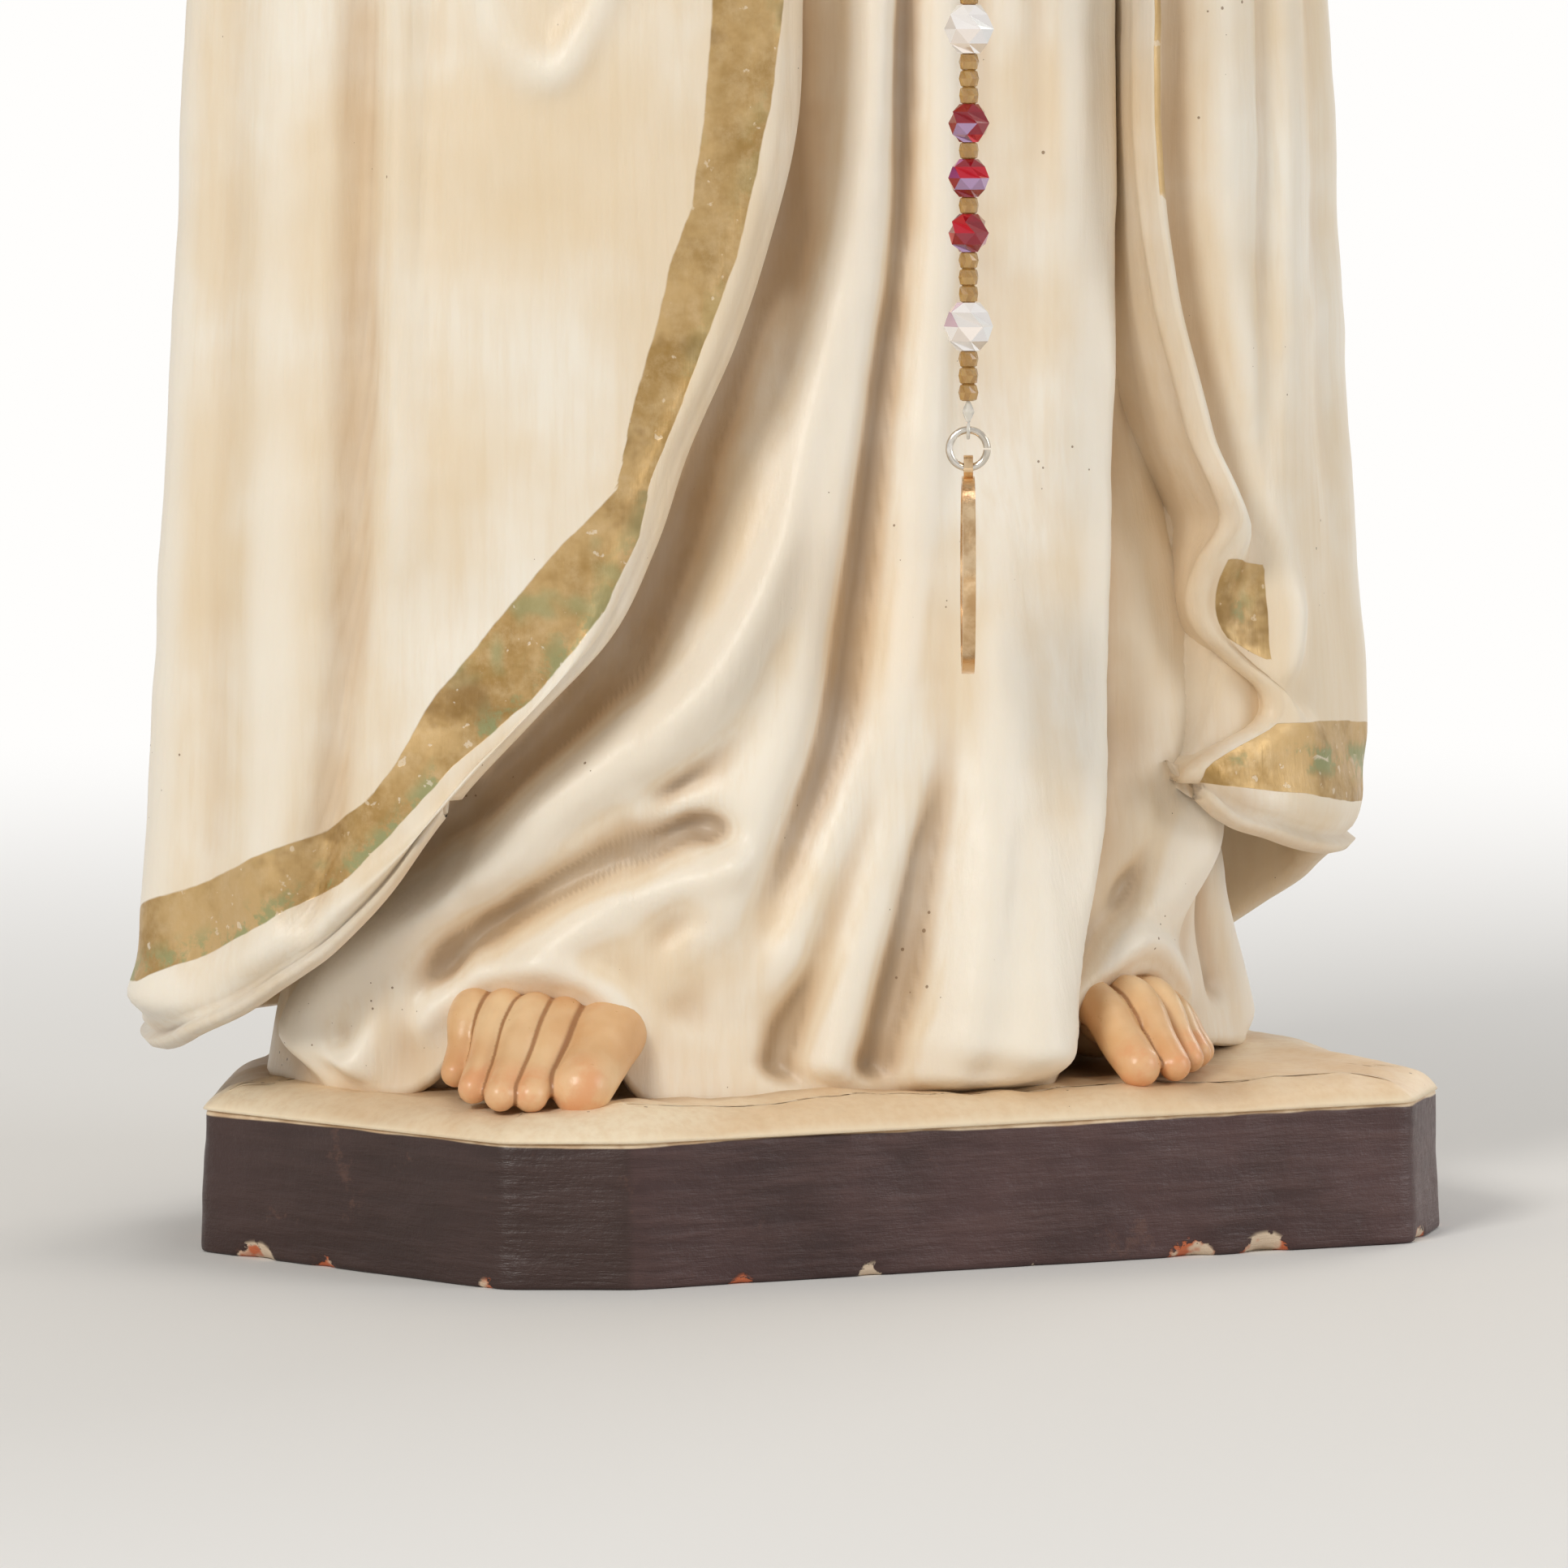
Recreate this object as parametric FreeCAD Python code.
"""A standing Madonna: a hand-painted cast figure on a dark plinth, with a rosary hung from the hands.

Millimetres. X runs to the figure's left, Y to the back, Z up; the figure faces -Y.
The origin is the middle of the plinth's underside.
"""

import FreeCAD, Part
import math
import os

V = FreeCAD.Vector

# ---- driving sizes ---------------------------------------------------------------------------

SEAT_GAP = 0.3  # left between two pieces that sit against each other on curved faces

# plinth: a low block whose corners are knocked off unevenly
PLINTH_HEIGHT = 17.5
PLINTH_DRAFT = 0.8  # how far each side leans in from the bottom edge to the top one
FRONT_LEFT = (-37.7, -52.5)
FRONT_RIGHT = (65.4, -52.5)
RIGHT_FRONT = (75.1, -40.5)
RIGHT_BACK = (75.1, 27.5)
BACK_RIGHT = (60.4, 50.0)
BACK_LEFT = (-42.6, 52.5)
LEFT_BACK = (-60.5, 30.0)
LEFT_FRONT = (-75.4, -2.0)
LEFT_NOTCH = (-52.6, -46.3)

# ground: the painted earth on the plinth
GROUND_RISE = 3.0
GROUND_SLOPE = 7.0  # width of its sloping margin
GROUND_INSET = 0.4

# figure: the upright axis that the gown and the mantle are built round
AXIS_X = 1.0
AXIS_Y = 2.5
GROUND_TOP = PLINTH_HEIGHT + GROUND_RISE
WALL = 7.0  # cast wall of the hollow gown
HOLLOW_HEIGHT = 205.0  # the casting is hollow this far up from the ground

# gown: height above the ground, half width, depth in front of the axis, depth behind it
GOWN = [
    (0.0, 64.0, 41.0, 43.5),
    (12.0, 61.5, 40.0, 42.8),
    (35.0, 58.0, 38.0, 41.8),
    (65.0, 55.0, 36.0, 41.0),
    (100.0, 53.0, 34.0, 40.2),
    (135.0, 51.0, 33.0, 39.2),
    (180.0, 46.0, 31.0, 37.2),
    (220.0, 41.0, 30.0, 35.0),
    (255.0, 40.0, 29.0, 33.4),
    (285.0, 40.0, 26.5, 31.2),
    (303.0, 36.0, 21.5, 27.5),
    (316.0, 24.0, 14.5, 20.0),
    (325.5, 11.5, 10.5, 11.5),
]
WAIST = 220.0  # height above the ground where the gown's folds start

# folds of the gown: angle at the hem and at the waist (0 faces front, plus is the figure's left),
# how far the fold stands out at the hem, and its half width in degrees
GOWN_FOLDS = [
    (-84.0, -26.0, 3.5, 6.0),
    (-67.0, -19.0, 4.5, 6.5),
    (-50.0, -13.0, 4.0, 6.5),
    (-33.0, -7.0, 4.5, 7.0),
    (-17.0, -2.0, 5.0, 6.5),
    (-1.0, 3.0, 7.5, 6.0),
    (14.0, 11.0, 8.0, 7.5),
    (32.0, 21.0, 3.0, 6.0),
    (50.0, 29.0, 3.5, 8.0),
    (74.0, 42.0, 4.5, 8.0),
]

# mantle: height of each section, half width, depth in front of the axis and behind it
MANTLE = [
    (26.0, 81.5, 50.0, 50.1),
    (60.0, 80.0, 48.8, 48.6),
    (105.0, 76.0, 46.8, 47.2),
    (155.0, 72.5, 45.0, 45.6),
    (200.0, 69.5, 43.0, 43.6),
    (240.0, 65.5, 40.5, 41.4),
    (280.0, 60.5, 36.5, 39.4),
    (306.0, 54.5, 32.5, 37.4),
    (324.0, 45.0, 28.0, 34.6),
    (338.0, 33.0, 23.0, 30.0),
    (346.0, 28.0, 20.5, 28.0),
]
MANTLE_WALL = 6.0
RECESS_TOP = 92.0  # the mantle is hollow from its hem to this height, and above it is one with the casting
MANTLE_TOP = MANTLE[-1][0]
MANTLE_FOLDS = [
    (-112.0, -104.0, 1.8, 9.0),
    (-84.0, -80.0, 2.2, 7.0),
    (-64.0, -60.0, 1.6, 6.0),
    (66.0, 60.0, 1.8, 7.0),
    (98.0, 92.0, 2.0, 9.0),
    (130.0, 126.0, 2.2, 9.0),
    (165.0, 163.0, 2.2, 9.0),
    (-160.0, -158.0, 2.2, 9.0),
    (-136.0, -131.0, 1.8, 8.0),
]

# front edges of the mantle, seen square-on as (across, up), from the hem to the throat
RIGHT_EDGE = [
    (-90.0, 22.0), (-79.5, 27.0), (-70.5, 34.0), (-63.0, 41.0), (-54.5, 57.0), (-36.5, 76.0), (-29.5, 90.0),
    (-20.5, 112.0), (-13.5, 145.0), (-12.5, 190.0), (-17.0, 235.0), (-27.0, 262.0), (-28.0, 292.0),
    (-19.0, 325.0), (-10.0, 350.0),
]
LEFT_EDGE = [
    (12.0, 350.0), (21.0, 325.0), (32.0, 292.0), (34.0, 262.0), (33.0, 235.0), (34.5, 190.0), (36.0, 145.0),
    (39.5, 118.0), (50.0, 88.0), (46.0, 75.0), (51.0, 62.0), (66.0, 51.0), (90.0, 47.0),
]
# hem on the figure's left: it hangs high in front, keeps that height and then falls to the back
LEFT_HEM_RISE = 48.0
LEFT_HEM_FRONT = -20.0
LEFT_HEM_FLAT = 0.0
LEFT_HEM_BACK = 34.0
BACK_HEM = 27.0
FAR_OUT = 120.0  # beyond the whole figure, for cutters

# hood: the mantle's upper end, drawn over the head
HOOD = [
    (346.0, 28.0, 20.5, 28.0),
    (358.0, 26.0, 21.5, 28.0),
    (375.0, 26.0, 23.5, 29.5),
    (392.0, 26.5, 25.0, 30.0),
    (406.0, 24.5, 23.5, 28.5),
    (418.0, 19.0, 18.5, 23.0),
    (425.5, 12.0, 12.5, 15.5),
    (430.0, 3.0, 3.0, 4.0),
]
HOOD_WALL = 3.0
OPENING_DEPTH = 4.0  # the hood is open from the front back to this far ahead of the axis
FACE_OPENING = [
    (-10.5, 340.0), (-13.5, 358.0), (-17.5, 375.0), (-18.5, 390.0), (-16.5, 403.0), (-11.0, 412.0), (-4.0, 416.0),
    (6.0, 416.0), (13.0, 412.0), (18.5, 403.0), (20.5, 390.0), (19.5, 375.0), (15.5, 358.0), (12.5, 340.0),
]

# head and neck, with a plain face of ordinary proportions
HEAD = [
    (346.3, 10.3, 9.6, 10.4),
    (356.0, 9.3, 8.8, 9.8),
    (366.0, 9.8, 9.8, 11.0),
    (371.0, 10.6, 14.2, 13.5),
    (375.5, 12.4, 17.8, 16.5),
    (384.0, 15.6, 18.8, 20.0),
    (394.0, 17.6, 19.4, 22.5),
    (405.0, 17.8, 19.2, 22.3),
    (414.0, 15.2, 16.2, 18.6),
    (420.5, 9.6, 10.2, 12.0),
    (423.5, 2.8, 3.0, 3.4),
]
NOSE_HEIGHT = 389.0
NOSE_LENGTH = 9.0
NOSE_RISE = 2.6
HAIR_BAND = 0.21  # share of the opening's half width that hair fills inside the hood's edge
HAIRLINE_DEPTH = 8.0  # the hair's front edge lies this far ahead of the axis

# hands: joined palm to palm, fingers up and a little forward
HANDS_X = 3.9
WRIST_Y = -50.0
WRIST_Z = 278.0
HAND_LEAN = 17.0  # degrees forward from upright
PALM_GAP = 0.4
# along the hand: distance from the wrist, thickness, half breadth
HAND = [
    (0.0, 6.4, 6.6),
    (6.0, 6.8, 7.4),
    (13.0, 7.9, 9.2),
    (25.0, 7.8, 9.4),
    (30.0, 6.4, 8.8),
    (36.0, 5.2, 7.6),
    (42.0, 3.9, 5.4),
    (45.0, 1.6, 2.2),
]
FOREARM_RADIUS = 4.0
FOREARM_LENGTH = 15.0
SLEEVE_SOCKET_CLEARANCE = 0.3
# sleeve centres out from the hands' middle, with the radius across and the radius up and down
SLEEVE = [
    (35.0, -8.0, 282.0, 12.0, 17.0),
    (27.0, -24.0, 271.0, 11.5, 17.0),
    (17.0, -35.0, 270.5, 9.0, 14.0),
    (10.0, -42.0, 273.0, 6.5, 10.5),
]

# feet: bare toes under the hem. Turn in degrees, place of the toe line, breadth and length
RIGHT_FOOT = {"x": -37.0, "y": -37.5, "turn": -14.0, "breadth": 23.0, "length": 34.0, "height": 10.5}
LEFT_FOOT = {"x": 35.5, "y": -43.5, "turn": 24.0, "breadth": 21.0, "length": 34.0, "height": 10.5}
TOES = [(-0.36, 0.31, 1.0), (-0.08, 0.2, 0.86), (0.11, 0.18, 0.8), (0.27, 0.17, 0.72), (0.42, 0.16, 0.62)]

# roses on the breast: across, up, size
ROSES = {"rose_white": (-10.0, 325.0), "rose_red": (1.0, 332.5), "rose_gold": (12.0, 325.0)}
ROSE_RADIUS = 5.4
ROSE_DEPTH = 4.2
ROSE_Y = -21.0
ROSE_PETALS = 5

# armature: the wooden rod that runs up the hollow casting
ROD_RADIUS = 4.0
ROD_FOOT = 4.0  # height of its lower end inside the plinth
ROD_TOP = 300.0
ROD_CLEARANCE = 0.3

# rosary
THREAD = 0.4
BORE = 1.25
RED_DIAMETER = 4.9
RED_LENGTH = 4.5
WHITE_DIAMETER = 5.9
WHITE_LENGTH = 5.7
SEED_DIAMETER = 2.4
SEED_LENGTH = 2.0
ROSARY_Y = -55.0
KNOT_Z = 158.8
KNOT_RADIUS = 1.1
KNOT_SPREAD = (1.8, 2.5)  # across and up from the knot to where its strands run side by side
STRAND_TOP_Z = 294.0
TURNS = 1.35
TURN_STEPS = 18  # points to a turn
TURN_PITCH = 6.2
TURN_RISE = 7.4  # from the right strand's top up to the first turn
TURN_HALF_WIDTH = 12.5
TURN_HALF_DEPTH = 15.4
STRAND_OUTSIDE = 5.7  # how far the left strand hangs outside the turns
SWING_GAP = 0.5  # bare thread each side of the line that the strands swing about

# jump ring and medal
RING_DIAMETER = 5.4
RING_WIRE = 0.9
RING_SPLIT = 0.25
EYE_RADIUS = 0.95
END_KNOT_LENGTH = 2.5
END_KNOT_RADIUS = 0.75
MEDAL_WIDTH = 18.0
MEDAL_HEIGHT = 23.6
MEDAL_THICKNESS = 1.1
MEDAL_RIM = 0.9
MEDAL_RIM_HEIGHT = 0.2
BAIL_HOLE = 0.8
BAIL_RADIUS = 1.5
MEDAL_TURN = -22.4  # the medal hangs edge-on to this direction


# ---- ways of making ------------------------------------------------------------------------------

def save(name, shape):
    shape.exportStep(os.path.join("parts", name + ".step"))


def mix(a, b, share):
    return a + (b - a) * share


def bump(offset, half_width):
    """A rounded swell, 1 in the middle and 0 beyond twice its half width."""
    share = abs(offset) / (2.0 * half_width)
    return math.cos(share * math.pi / 2.0) ** 2 if share < 1.0 else 0.0


def turned(angle):
    """An angle brought to between -180 and 180 degrees."""
    return (angle + 180.0) % 360.0 - 180.0


def ring(height, half_width, front, back, swell=None, count=48, centre=(AXIS_X, AXIS_Y)):
    """One closed level section: an oval, deeper in front or behind, with a swell added round it."""
    poles = []
    for i in range(count):
        angle = 360.0 * i / count
        across = math.sin(math.radians(angle))
        ahead = math.cos(math.radians(angle))
        extra = swell(turned(angle)) if swell else 0.0
        depth = front if ahead > 0 else back
        poles.append(V(centre[0] + (half_width + extra) * across, centre[1] - (depth + extra) * ahead, height))
    curve = Part.BSplineCurve()
    curve.buildFromPoles(poles, True, 3)
    return Part.Wire(curve.toShape())


def loft(wires):
    return Part.makeLoft(wires, True, False)


def pleats(folds, height, low, high):
    """The swell of a set of folds at one height: they sweep out and deepen towards the hem."""
    up = min(max((height - low) / (high - low), 0.0), 1.0)
    down = (1.0 - up) ** 1.7

    def swell(angle):
        total = 0.0
        for at_hem, at_waist, stand, half_width in folds:
            middle = mix(at_waist, at_hem, down)
            total += stand * mix(0.35, 1.0, 1.0 - up) * bump(turned(angle - middle), half_width)
        return total

    return swell


def stations_up_to(table, top):
    """The lower stations of a table, and one more at the given height worked out between its neighbours."""
    below = [row for row in table if row[0] < top]
    above = table[len(below)]
    share = (top - below[-1][0]) / (above[0] - below[-1][0])
    return below + [tuple(mix(a, b, share) for a, b in zip(below[-1], above))]


def outline_prism(points, near, far):
    """A cutter: a smooth front outline drawn in the XZ plane and carried straight back."""
    wire = Part.makePolygon([V(x, near, z) for x, z in points + points[:1]])
    return Part.Face(wire).extrude(V(0, far - near, 0))


def smooth_edge(points):
    """The points of a soft line through the given ones, as (across, up)."""
    curve = Part.BSplineCurve()
    curve.interpolate([V(x, 0, z) for x, z in points])
    return curve


# ---- plinth and ground -----------------------------------------------------------------------------

PLINTH_CORNERS = [
    FRONT_LEFT, FRONT_RIGHT, RIGHT_FRONT, RIGHT_BACK, BACK_RIGHT, BACK_LEFT, LEFT_BACK, LEFT_FRONT, LEFT_NOTCH,
]


def corner_ring(inset, height):
    """The plinth's outline moved in by one distance all round."""
    wire = Part.makePolygon([V(x, y, 0) for x, y in PLINTH_CORNERS + PLINTH_CORNERS[:1]])
    moved = wire.makeOffset2D(-inset, 2) if inset else wire
    moved.translate(V(0, 0, height))
    return Part.Wire(Part.__sortEdges__(moved.Edges))


def rod_hole(low, high):
    return Part.makeCylinder(ROD_RADIUS + ROD_CLEARANCE, high - low, V(AXIS_X, AXIS_Y, low))


def make_plinth():
    block = Part.makeLoft([corner_ring(0, 0), corner_ring(PLINTH_DRAFT, PLINTH_HEIGHT)], True, True)
    return block.cut(rod_hole(ROD_FOOT, PLINTH_HEIGHT + 1))


def make_ground():
    edge = PLINTH_DRAFT + GROUND_INSET
    slab = Part.makeLoft(
        [corner_ring(edge, PLINTH_HEIGHT), corner_ring(edge + GROUND_SLOPE, GROUND_TOP)], True, True
    )
    return slab.cut(rod_hole(PLINTH_HEIGHT - 1, GROUND_TOP + 1))


# ---- gown ----------------------------------------------------------------------------------------

def gown_solid():
    wires = []
    for up, half_width, front, back in GOWN:
        swell = pleats(GOWN_FOLDS, up, 0.0, WAIST + 40.0)
        wires.append(ring(GROUND_TOP + up, half_width, front, back, swell, 60))
    return loft(wires)


def gown_hollow():
    wires = []
    for up, half_width, front, back in stations_up_to(GOWN, HOLLOW_HEIGHT):
        wires.append(ring(GROUND_TOP + up, half_width - WALL, front - WALL, back - WALL, None, 16))
    return loft(wires)


# ---- mantle and hood ---------------------------------------------------------------------------------

def mantle_shell():
    """The mantle's outer body, hollowed under the hem as far up as the recess goes."""
    outer = []
    for height, half_width, front, back in MANTLE:
        swell = pleats(MANTLE_FOLDS, height, MANTLE[0][0], MANTLE[-3][0])
        outer.append(ring(height, half_width, front, back, swell, 48))
    inner = []
    for height, half_width, front, back in stations_up_to(MANTLE, RECESS_TOP):
        inner.append(ring(height, half_width - MANTLE_WALL, front - MANTLE_WALL, back - MANTLE_WALL, None, 20))
    return loft(outer).cut(loft(inner))


def edge_points(points):
    curve = smooth_edge(points)
    return [(p.x, p.z) for p in curve.discretize(Number=2 * len(points))]


def make_mantle():
    foot = [(FAR_OUT, 0.0), (-FAR_OUT, 0.0)]
    opening = outline_prism(edge_points(RIGHT_EDGE) + edge_points(LEFT_EDGE) + foot, -FAR_OUT, AXIS_Y)
    start, top, end = LEFT_HEM_FRONT, LEFT_HEM_FLAT, LEFT_HEM_BACK
    side = [V(0, start, 0), V(0, start, LEFT_HEM_RISE), V(0, top, LEFT_HEM_RISE), V(0, end, BACK_HEM), V(0, end, 0)]
    left_hem = Part.Face(Part.makePolygon(side + side[:1])).extrude(V(FAR_OUT, 0, 0))
    return mantle_shell().cut(opening).cut(left_hem)


def hood_ring(station, inset, count=20):
    height, half_width, front, back = station
    return ring(height, half_width - inset, front - inset, back - inset, None, count)


def make_hood():
    outer = loft([hood_ring(s, 0.0) for s in HOOD])
    inner = loft([hood_ring(s, HOOD_WALL) for s in HOOD[:-1]])
    opening = outline_prism(FACE_OPENING, -FAR_OUT, AXIS_Y - OPENING_DEPTH)
    return outer.cut(inner).cut(opening)


def make_head():
    wires = []
    for height, half_width, front, back in HEAD:
        nose = NOSE_RISE * bump(height - NOSE_HEIGHT, NOSE_LENGTH / 2.0)
        wires.append(ring(height, half_width, front, back, lambda a: nose * bump(a, 9.0), 30))
    return loft(wires)


def make_hair(head):
    outer = loft([hood_ring(s, HOOD_WALL + SEAT_GAP) for s in HOOD[:-1]])
    collar = Part.makeBox(100, 100, 1 + SEAT_GAP, V(-50, -50, HOOD[0][0] - 1))
    narrowed = [(AXIS_X + (x - AXIS_X) * (1.0 - HAIR_BAND), z) for x, z in FACE_OPENING]
    opening = outline_prism(narrowed, -FAR_OUT, AXIS_Y - HAIRLINE_DEPTH)
    return outer.cut([head, collar, opening])


# ---- arms ----------------------------------------------------------------------------------------

def oval(centre, along, up, radius_side, radius_up, count=12):
    """A closed oval square to a direction, for sections of sleeves and hands."""
    along = V(along).normalize()
    side = along.cross(V(0, 0, 1)).normalize() if up is None else along.cross(up).normalize()
    rise = side.cross(along).normalize()
    poles = []
    for i in range(count):
        angle = 2 * math.pi * i / count
        poles.append(centre + side * (radius_side * math.cos(angle)) + rise * (radius_up * math.sin(angle)))
    curve = Part.BSplineCurve()
    curve.buildFromPoles(poles, True, 3)
    return Part.Wire(curve.toShape())


def sleeve_path(side):
    return [V(HANDS_X + side * out, y, z) for out, y, z, across, upright in SLEEVE]


def make_sleeve(side):
    centres = sleeve_path(side)
    wires = []
    for i, centre in enumerate(centres):
        along = centres[min(i + 1, len(centres) - 1)] - centres[max(i - 1, 0)]
        wires.append(oval(centre, along, None, SLEEVE[i][3], SLEEVE[i][4]))
    return loft(wires)


def forearm(side, radius, length):
    """The round forearm from the wrist back into the sleeve."""
    wrist = V(HANDS_X + side * (HAND[0][1] / 2.0 + PALM_GAP / 2.0), WRIST_Y, WRIST_Z)
    centres = sleeve_path(side)
    back = (centres[-2] - wrist).normalize()
    return Part.makeCylinder(radius, length, wrist, back)


def make_hand(side):
    lean = math.radians(HAND_LEAN)
    up = V(0, -math.sin(lean), math.cos(lean))
    deep = V(0, math.cos(lean), math.sin(lean))
    wires = []
    for along, thick, half_breadth in HAND:
        middle = V(HANDS_X + side * (PALM_GAP + thick) / 2.0, WRIST_Y, WRIST_Z) + up * along
        poles = []
        for i in range(14):
            angle = 2 * math.pi * i / 14
            out = thick / 2.0 * math.cos(angle)
            poles.append(middle + V(side * out, 0, 0) + deep * (half_breadth * math.sin(angle)))
        curve = Part.BSplineCurve()
        curve.buildFromPoles(poles, True, 3)
        wires.append(Part.Wire(curve.toShape()))
    hand = loft(wires)
    return hand.fuse(forearm(side, FOREARM_RADIUS, FOREARM_LENGTH)).removeSplitter()


# ---- feet ----------------------------------------------------------------------------------------

def make_foot(foot, side):
    """A bare forefoot: five toes at the front, one low instep behind, flat underneath."""
    wires = []
    breadth = foot["breadth"]
    for share in (0.0, 0.06, 0.2, 0.34, 0.5, 0.75, 1.0):
        along = share * foot["length"]
        width = breadth * (0.86 if share < 0.05 else 1.0 - 0.18 * max(share - 0.4, 0.0))
        low = foot["height"] * (0.42 + 0.16 * min(share / 0.3, 1.0))
        top = mix(low, foot["height"] * 1.5, max(share - 0.34, 0.0) / 0.66)
        depth = 0.5 * bump(share, 0.22)
        poles = []
        for i in range(28):
            across = -0.5 + i / 27.0
            toe = 0.0
            for middle, half, size in TOES:
                toe = max(toe, size * bump(across - middle, half * 0.42))
            arch = (1.0 - abs(2 * across) ** 4)
            high = top * arch * (1.0 - depth + depth * toe)
            poles.append(V(side * across * width, along, max(high, 0.3)))
        top_edge = Part.BSplineCurve()
        top_edge.buildFromPoles(poles, False, 3)
        floor = Part.LineSegment(poles[-1], V(poles[-1].x, along, 0.0))
        base = Part.LineSegment(V(poles[-1].x, along, 0.0), V(poles[0].x, along, 0.0))
        rise = Part.LineSegment(V(poles[0].x, along, 0.0), poles[0])
        wires.append(Part.Wire([top_edge.toShape(), floor.toShape(), base.toShape(), rise.toShape()]))
    solid = Part.makeLoft(wires, True, False)
    solid.rotate(V(0, 0, 0), V(0, 0, 1), foot["turn"])
    solid.translate(V(foot["x"], foot["y"], GROUND_TOP))
    return solid


# ---- roses ----------------------------------------------------------------------------------------

def make_rose(centre):
    """A cupped rose of turned petals, facing front, with a peg behind it."""
    wires = []
    for share in (0.0, 0.25, 0.55, 0.85, 1.0):
        radius = ROSE_RADIUS * (0.55 + 0.45 * math.sin(math.pi * min(share + 0.12, 1.0) * 0.8))
        poles = []
        for i in range(20):
            angle = 2 * math.pi * i / 20
            petal = 1.0 + 0.1 * math.cos(ROSE_PETALS * angle + 1.2 * share)
            poles.append(centre + V(radius * petal * math.cos(angle), -ROSE_DEPTH * share,
                                    radius * petal * math.sin(angle)))
        curve = Part.BSplineCurve()
        curve.buildFromPoles(poles, True, 3)
        wires.append(Part.Wire(curve.toShape()))
    return loft(wires)


# ---- rosary ---------------------------------------------------------------------------------------

def bead(diameter, length, end, belt, sides=6):
    """A cut bead on the Z axis: a belt of flats between two rows that narrow to its ends, and a bore."""
    levels = [(-0.5, end), (-belt / 2.0, 1.0), (belt / 2.0, 1.0), (0.5, end)]
    wires = []
    for along, share in levels:
        radius = diameter / 2.0 * share
        corners = []
        for i in range(sides):
            angle = 2 * math.pi * (i + 0.5) / sides
            corners.append(V(radius * math.cos(angle), radius * math.sin(angle), along * length))
        wires.append(Part.makePolygon(corners + corners[:1]))
    return bored(Part.makeLoft(wires, True, True), length)


def bored(solid, length):
    corners = []
    for i in range(6):
        angle = math.pi * i / 3.0
        corners.append(V(BORE / 2.0 * math.cos(angle), BORE / 2.0 * math.sin(angle), -length))
    return solid.cut(Part.Face(Part.makePolygon(corners + corners[:1])).extrude(V(0, 0, 2 * length)))


BEAD_KINDS = {
    "decade": (bead(RED_DIAMETER, RED_LENGTH, 0.4, 0.3), RED_LENGTH),
    "paternoster": (bead(WHITE_DIAMETER, WHITE_LENGTH, 0.4, 0.3), WHITE_LENGTH),
    "seed": (bead(SEED_DIAMETER, SEED_LENGTH, 0.64, 0.4), SEED_LENGTH),
}
BEAD_GAP = 0.02
GAP_ROUNDS = 4  # rounds of sharing the spare thread out between the beads
EVEN_GAP = 0.02  # what every gap gets beside its bend, in radians


def decade(reds):
    order = []
    for i in range(reds):
        order.append("decade")
        if i < reds - 1:
            order.append("seed")
    return order


SPACER = ["seed"] * 3 + ["paternoster"] + ["seed"] * 3
PENDANT_ORDER = SPACER + decade(3) + SPACER
STRAND_ORDER = ["seed"] * 3 + decade(10) + SPACER + decade(7) + ["seed"]
TURN_ORDER = decade(3) + SPACER + decade(10) + SPACER + decade(3)


def string_beads(order, point_at, start, room):
    """The beads of one length, threaded one after another along a path; a dict of kind to solids."""
    made = {"decade": [], "paternoster": [], "seed": []}
    total = sum(BEAD_KINDS[kind][1] for kind in order)
    shares = [1.0] * len(order)
    for attempt in range(GAP_ROUNDS):
        ends = []
        along = start
        for kind, share in zip(order, shares):
            length = BEAD_KINDS[kind][1]
            ends.append((point_at(along + BEAD_GAP), point_at(along + length - BEAD_GAP)))
            along += length + (room - total) * share / sum(shares)
        bends = [(b[1] - b[0]).getAngle(a[1] - a[0]) for a, b in zip(ends, ends[1:])]
        shares = [EVEN_GAP + bend for bend in bends + [0.0]]
    for kind, (low, high) in zip(order, ends):
        placed = BEAD_KINDS[kind][0].copy()
        placed.Placement = FreeCAD.Placement((low + high) * 0.5, FreeCAD.Rotation(V(0, 0, 1), high - low))
        made[kind].append(placed)
    return made


def straight(start, end):
    direction = (end - start).normalize()
    return lambda along: start + direction * along


def tube(points, diameter):
    """A thread: straight runs joined by tangent arcs as large as their runs allow."""
    edges = []
    radii = []
    last = points[0]
    for i in range(1, len(points) - 1):
        before = points[i - 1] - points[i]
        after = points[i + 1] - points[i]
        reach = 0.45 * min(before.Length, after.Length)
        half_turn = (math.pi - before.getAngle(after)) / 2.0
        radii.append(reach / math.tan(half_turn))
        into = points[i] + before.normalize() * reach
        out = points[i] + after.normalize() * reach
        bisector = (before + after).normalize()
        middle = points[i] + bisector * (radii[-1] / math.cos(half_turn) - radii[-1])
        edges.append(Part.LineSegment(last, into).toShape())
        edges.append(Part.Arc(into, middle, out).toShape())
        last = out
    edges.append(Part.LineSegment(last, points[-1]).toShape())
    path = Part.Wire(edges)
    first = (points[1] - points[0]).normalize()
    section = Part.Wire(Part.makeCircle(diameter / 2.0, points[0], first))
    solid = path.makePipeShell([section], True, False)
    if radii:
        print("thread radii", [round(r, 1) for r in radii], "length", round(path.Length, 1))
    return solid


KNOT = V(HANDS_X, ROSARY_Y, KNOT_Z)
RIGHT_STRAND_TOP = V(HANDS_X - TURN_HALF_WIDTH, ROSARY_Y, STRAND_TOP_Z)
LEFT_STRAND_TOP = V(HANDS_X + TURN_HALF_WIDTH + STRAND_OUTSIDE, ROSARY_Y, STRAND_TOP_Z)


def strand_spread(side):
    return KNOT + V(side * KNOT_SPREAD[0], 0, KNOT_SPREAD[1])


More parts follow.
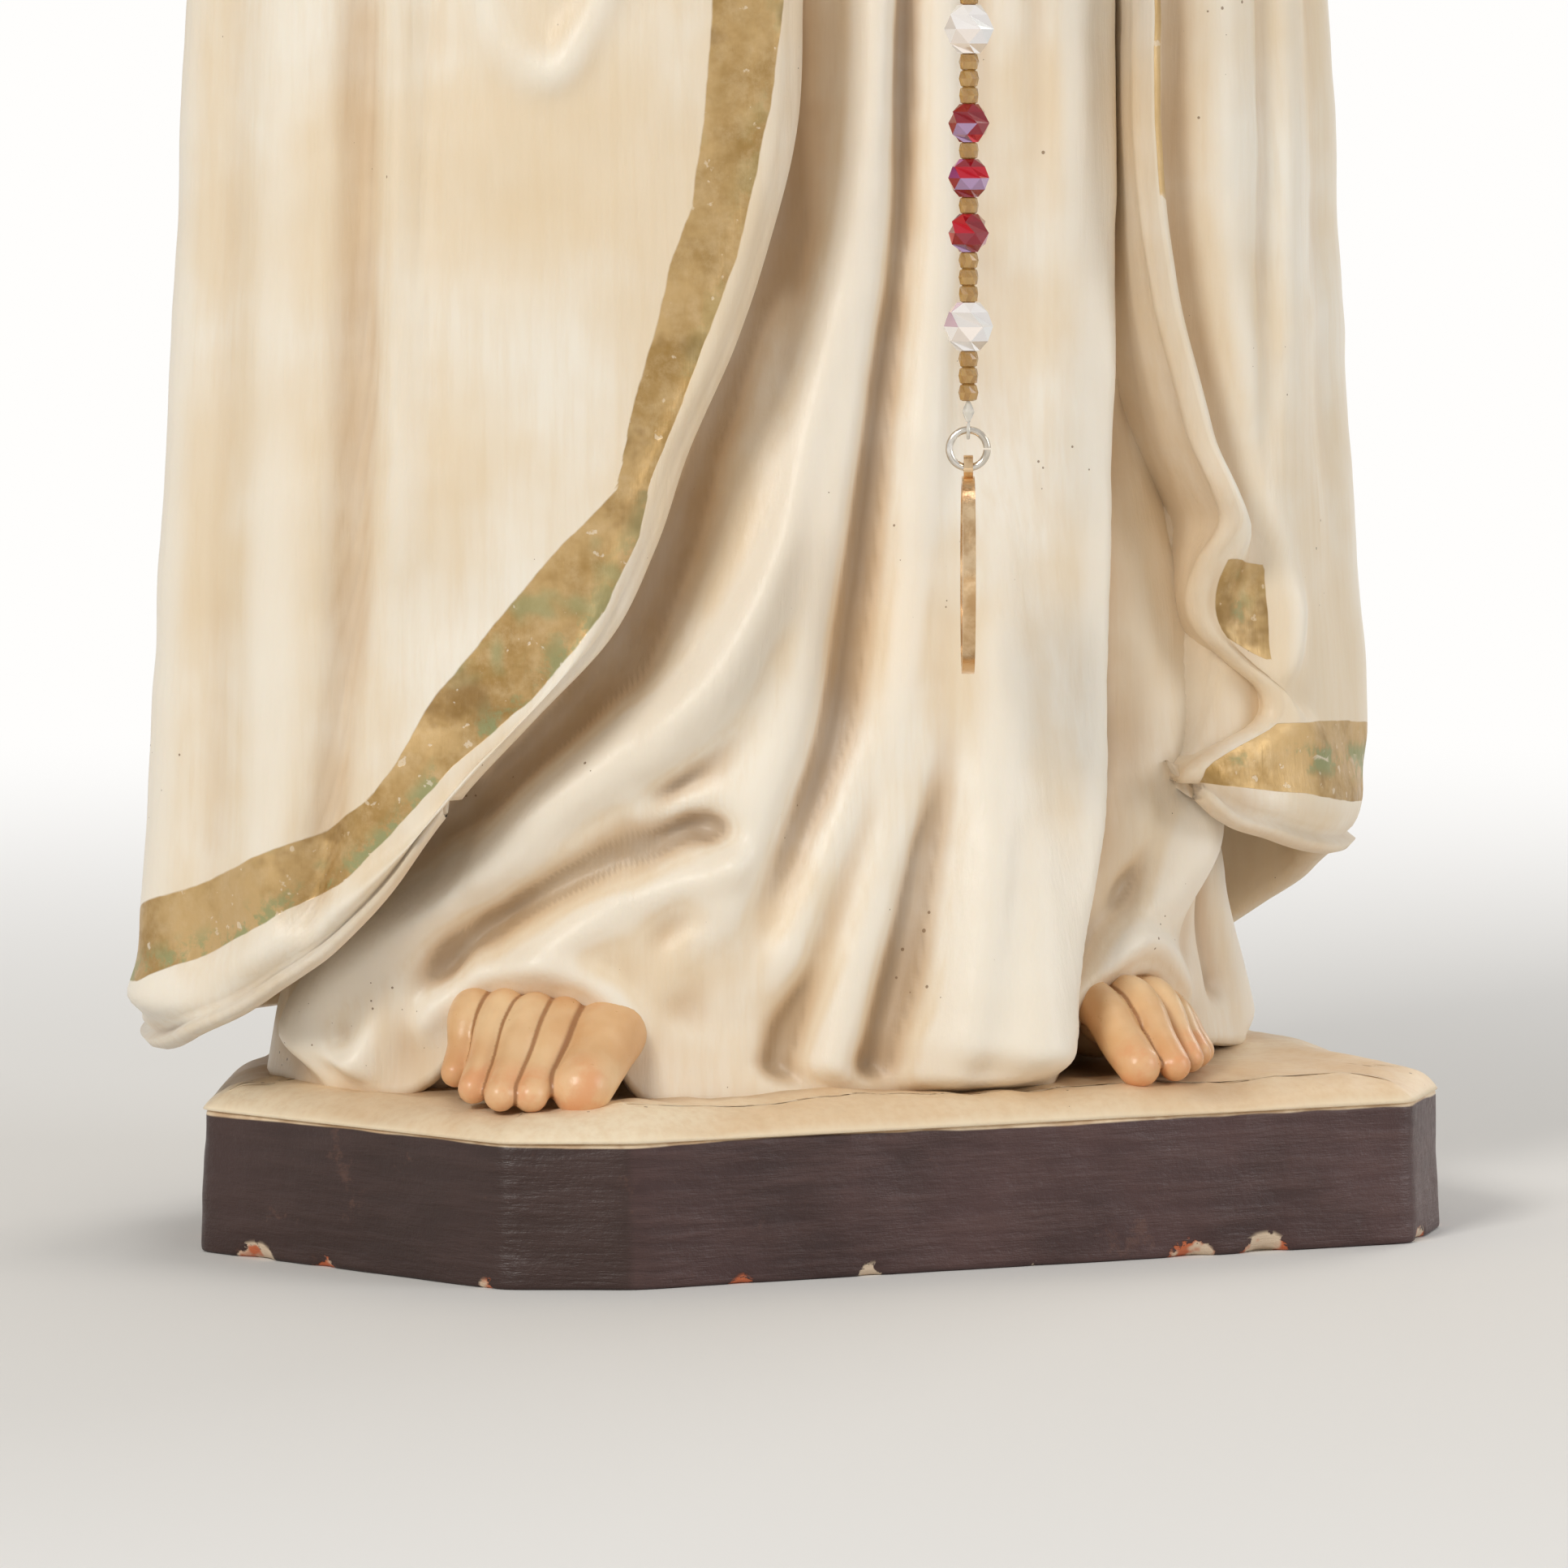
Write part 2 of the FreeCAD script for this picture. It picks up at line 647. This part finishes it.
def strand_points(side):
    top = RIGHT_STRAND_TOP if side < 0 else LEFT_STRAND_TOP
    spread = strand_spread(side)
    away = (spread - KNOT).normalize()
    return [KNOT + away * KNOT_RADIUS, spread, top]


def turns_points():
    """The rosary's way round the joined hands, from the right strand's top to the left strand's."""
    lean = math.tan(math.radians(HAND_LEAN))
    right = RIGHT_STRAND_TOP
    points = [right, right + V(-0.3, 0.5, 4.0), right + V(0.2, 3.4, 7.2)]
    for i in range(2, int(TURNS * TURN_STEPS) + 1):
        angle = math.pi + 2 * math.pi * i / TURN_STEPS
        height = STRAND_TOP_Z + TURN_RISE + TURN_PITCH * i / TURN_STEPS
        middle_y = ROSARY_Y - lean * (height - STRAND_TOP_Z)
        points.append(V(HANDS_X + TURN_HALF_WIDTH * math.cos(angle), middle_y - TURN_HALF_DEPTH * math.sin(angle),
                        height))
    left = LEFT_STRAND_TOP
    points += [left + V(-4.2, 4.8, 16.2), left + V(-0.6, 1.2, 13.0), left + V(0, 0, 7.0), left]
    return points


def along_path(points):
    """A function that gives the place at a distance along a thread's runs."""
    lengths = [(b - a).Length for a, b in zip(points, points[1:])]

    def place(distance):
        for a, b, length in zip(points, points[1:], lengths):
            if distance <= length or b is points[-1]:
                return a + (b - a) * (distance / length)
            distance -= length

    return place, sum(lengths)


# ---- jump ring and medal --------------------------------------------------------------------------

RING_RADIUS = (RING_DIAMETER - RING_WIRE) / 2.0
PENDANT_LENGTH = sum(BEAD_KINDS[kind][1] for kind in PENDANT_ORDER)
PENDANT_END = KNOT_Z - KNOT_RADIUS - PENDANT_LENGTH
EYE_Z = PENDANT_END - END_KNOT_LENGTH - EYE_RADIUS
RING_Z = EYE_Z - RING_RADIUS
MEDAL_HOLE_Z = RING_Z - RING_RADIUS
HANG = V(HANDS_X, ROSARY_Y, 0)


def hung(shape, height):
    """A piece made at the origin facing -Y, turned edge-on and hung on the rosary's line."""
    shape.rotate(V(0, 0, 0), V(0, 0, 1), MEDAL_TURN)
    shape.translate(HANG + V(0, 0, height))
    return shape


def make_end_knot():
    eye = Part.makeTorus(EYE_RADIUS, THREAD / 2.0, V(0, 0, 0), V(1, 0, 0))
    low = EYE_RADIUS - THREAD / 4.0
    middle = EYE_RADIUS + END_KNOT_LENGTH / 2.0
    high = EYE_RADIUS + END_KNOT_LENGTH
    profile = [(THREAD / 2.0, low), (END_KNOT_RADIUS, middle), (THREAD / 2.0, high)]
    outline = Part.makePolygon([V(0, 0, low)] + [V(r, 0, z) for r, z in profile] + [V(0, 0, high), V(0, 0, low)])
    knot = Part.Face(outline).revolve(V(0, 0, 0), V(0, 0, 1), 360)
    return hung(eye.fuse(knot), EYE_Z)


def make_ring():
    ring_body = Part.makeTorus(RING_RADIUS, RING_WIRE / 2.0, V(0, 0, 0), V(0, 1, 0))
    slot = Part.makeBox(RING_DIAMETER, 2 * RING_WIRE, RING_SPLIT, V(0, -RING_WIRE, -RING_SPLIT / 2.0))
    return hung(ring_body.cut(slot), RING_Z)


def oval_plate(shrink, low, high):
    """A slice of the medal's oval, between two distances from its middle sheet."""
    ellipse = Part.Ellipse(V(0, 0, 0), MEDAL_HEIGHT / 2.0 - shrink, MEDAL_WIDTH / 2.0 - shrink)
    face = Part.Face(Part.Wire(ellipse.toShape()))
    face.rotate(V(0, 0, 0), V(0, 1, 0), 90)
    face.translate(V(low, 0, 0))
    return face.extrude(V(high - low, 0, 0))


def make_medal():
    half = MEDAL_THICKNESS / 2.0
    proud = half + MEDAL_RIM_HEIGHT
    plate = oval_plate(0.0, -half, half)
    rim = oval_plate(0.0, -proud, proud).cut(oval_plate(MEDAL_RIM, -proud - 1, proud + 1))
    centre = -(BAIL_RADIUS + MEDAL_HEIGHT / 2.0 - 0.5)
    body = plate.fuse(rim)
    upright = Part.makeBox(proud, 1.8, 11.0, V(0, -0.9, -6.0))
    arms = Part.makeBox(proud, 7.0, 1.8, V(0, -3.5, 0.4))
    body = body.fuse([upright, arms])
    body.translate(V(0, 0, centre))
    bail = Part.makeCylinder(BAIL_RADIUS, MEDAL_THICKNESS, V(-half, 0, 0), V(1, 0, 0))
    hole = Part.makeCylinder(BAIL_HOLE, 4 * half, V(-2 * half, 0, 0), V(1, 0, 0))
    return hung(body.fuse(bail).cut(hole), MEDAL_HOLE_Z)


# ---- putting it together ----------------------------------------------------------------------------

def save_beads(prefix, made):
    for kind, solids in made.items():
        save(prefix + "_" + kind + "_beads", Part.makeCompound(solids))


def make_rosary():
    knot_end = KNOT - V(0, 0, KNOT_RADIUS)
    save("pendant_thread", tube([knot_end, V(HANDS_X, ROSARY_Y, PENDANT_END)], THREAD))
    save_beads("pendant", string_beads(PENDANT_ORDER, straight(knot_end, knot_end - V(0, 0, 1)), 0.0,
                                       PENDANT_LENGTH))
    hanging = {"decade": [], "paternoster": [], "seed": []}
    for side, name in ((-1, "right"), (1, "left")):
        points = strand_points(side)
        save(name + "_strand_thread", tube(points, THREAD))
        room = (points[2] - points[1]).Length - SWING_GAP
        for kind, solids in string_beads(STRAND_ORDER, straight(points[1], points[2]), 0.0, room).items():
            hanging[kind] += solids
    save_beads("strand", hanging)
    save("centre_knot", Part.makeSphere(KNOT_RADIUS, KNOT))
    points = turns_points()
    save("turns_thread", tube(points, THREAD))
    place, room = along_path(points)
    save_beads("turns", string_beads(TURN_ORDER, place, SWING_GAP, room - 2 * SWING_GAP))
    save("end_knot", make_end_knot())
    save("jump_ring", make_ring())
    save("medal", make_medal())


def main():
    os.makedirs("parts", exist_ok=True)
    save("plinth", make_plinth())
    save("ground", make_ground())
    right_foot = make_foot(RIGHT_FOOT, 1)
    left_foot = make_foot(LEFT_FOOT, -1)
    rod = Part.makeCylinder(ROD_RADIUS, ROD_TOP - ROD_FOOT, V(AXIS_X, AXIS_Y, ROD_FOOT))
    body = gown_solid()
    gown = body.cut(gown_hollow()).cut(rod_hole(GROUND_TOP, ROD_TOP)).cut([right_foot, left_foot])
    mantle = make_mantle().cut(body)
    head = make_head()
    save("right_foot", right_foot)
    save("left_foot", left_foot)
    save("armature_rod", rod)
    save("mantle", mantle)
    save("mantle_hood", make_hood())
    save("head", head)
    save("hair", make_hair(head))
    for side, name in ((-1, "right"), (1, "left")):
        socket = forearm(side, FOREARM_RADIUS + SLEEVE_SOCKET_CLEARANCE, FOREARM_LENGTH + SLEEVE_SOCKET_CLEARANCE)
        save(name + "_sleeve", make_sleeve(side).cut([body, mantle, socket]))
        save(name + "_hand", make_hand(side))
    for name, (across, height) in ROSES.items():
        rose = make_rose(V(across, ROSE_Y, height))
        save(name, rose.cut(body))
    save("gown", gown)
    make_rosary()


main()
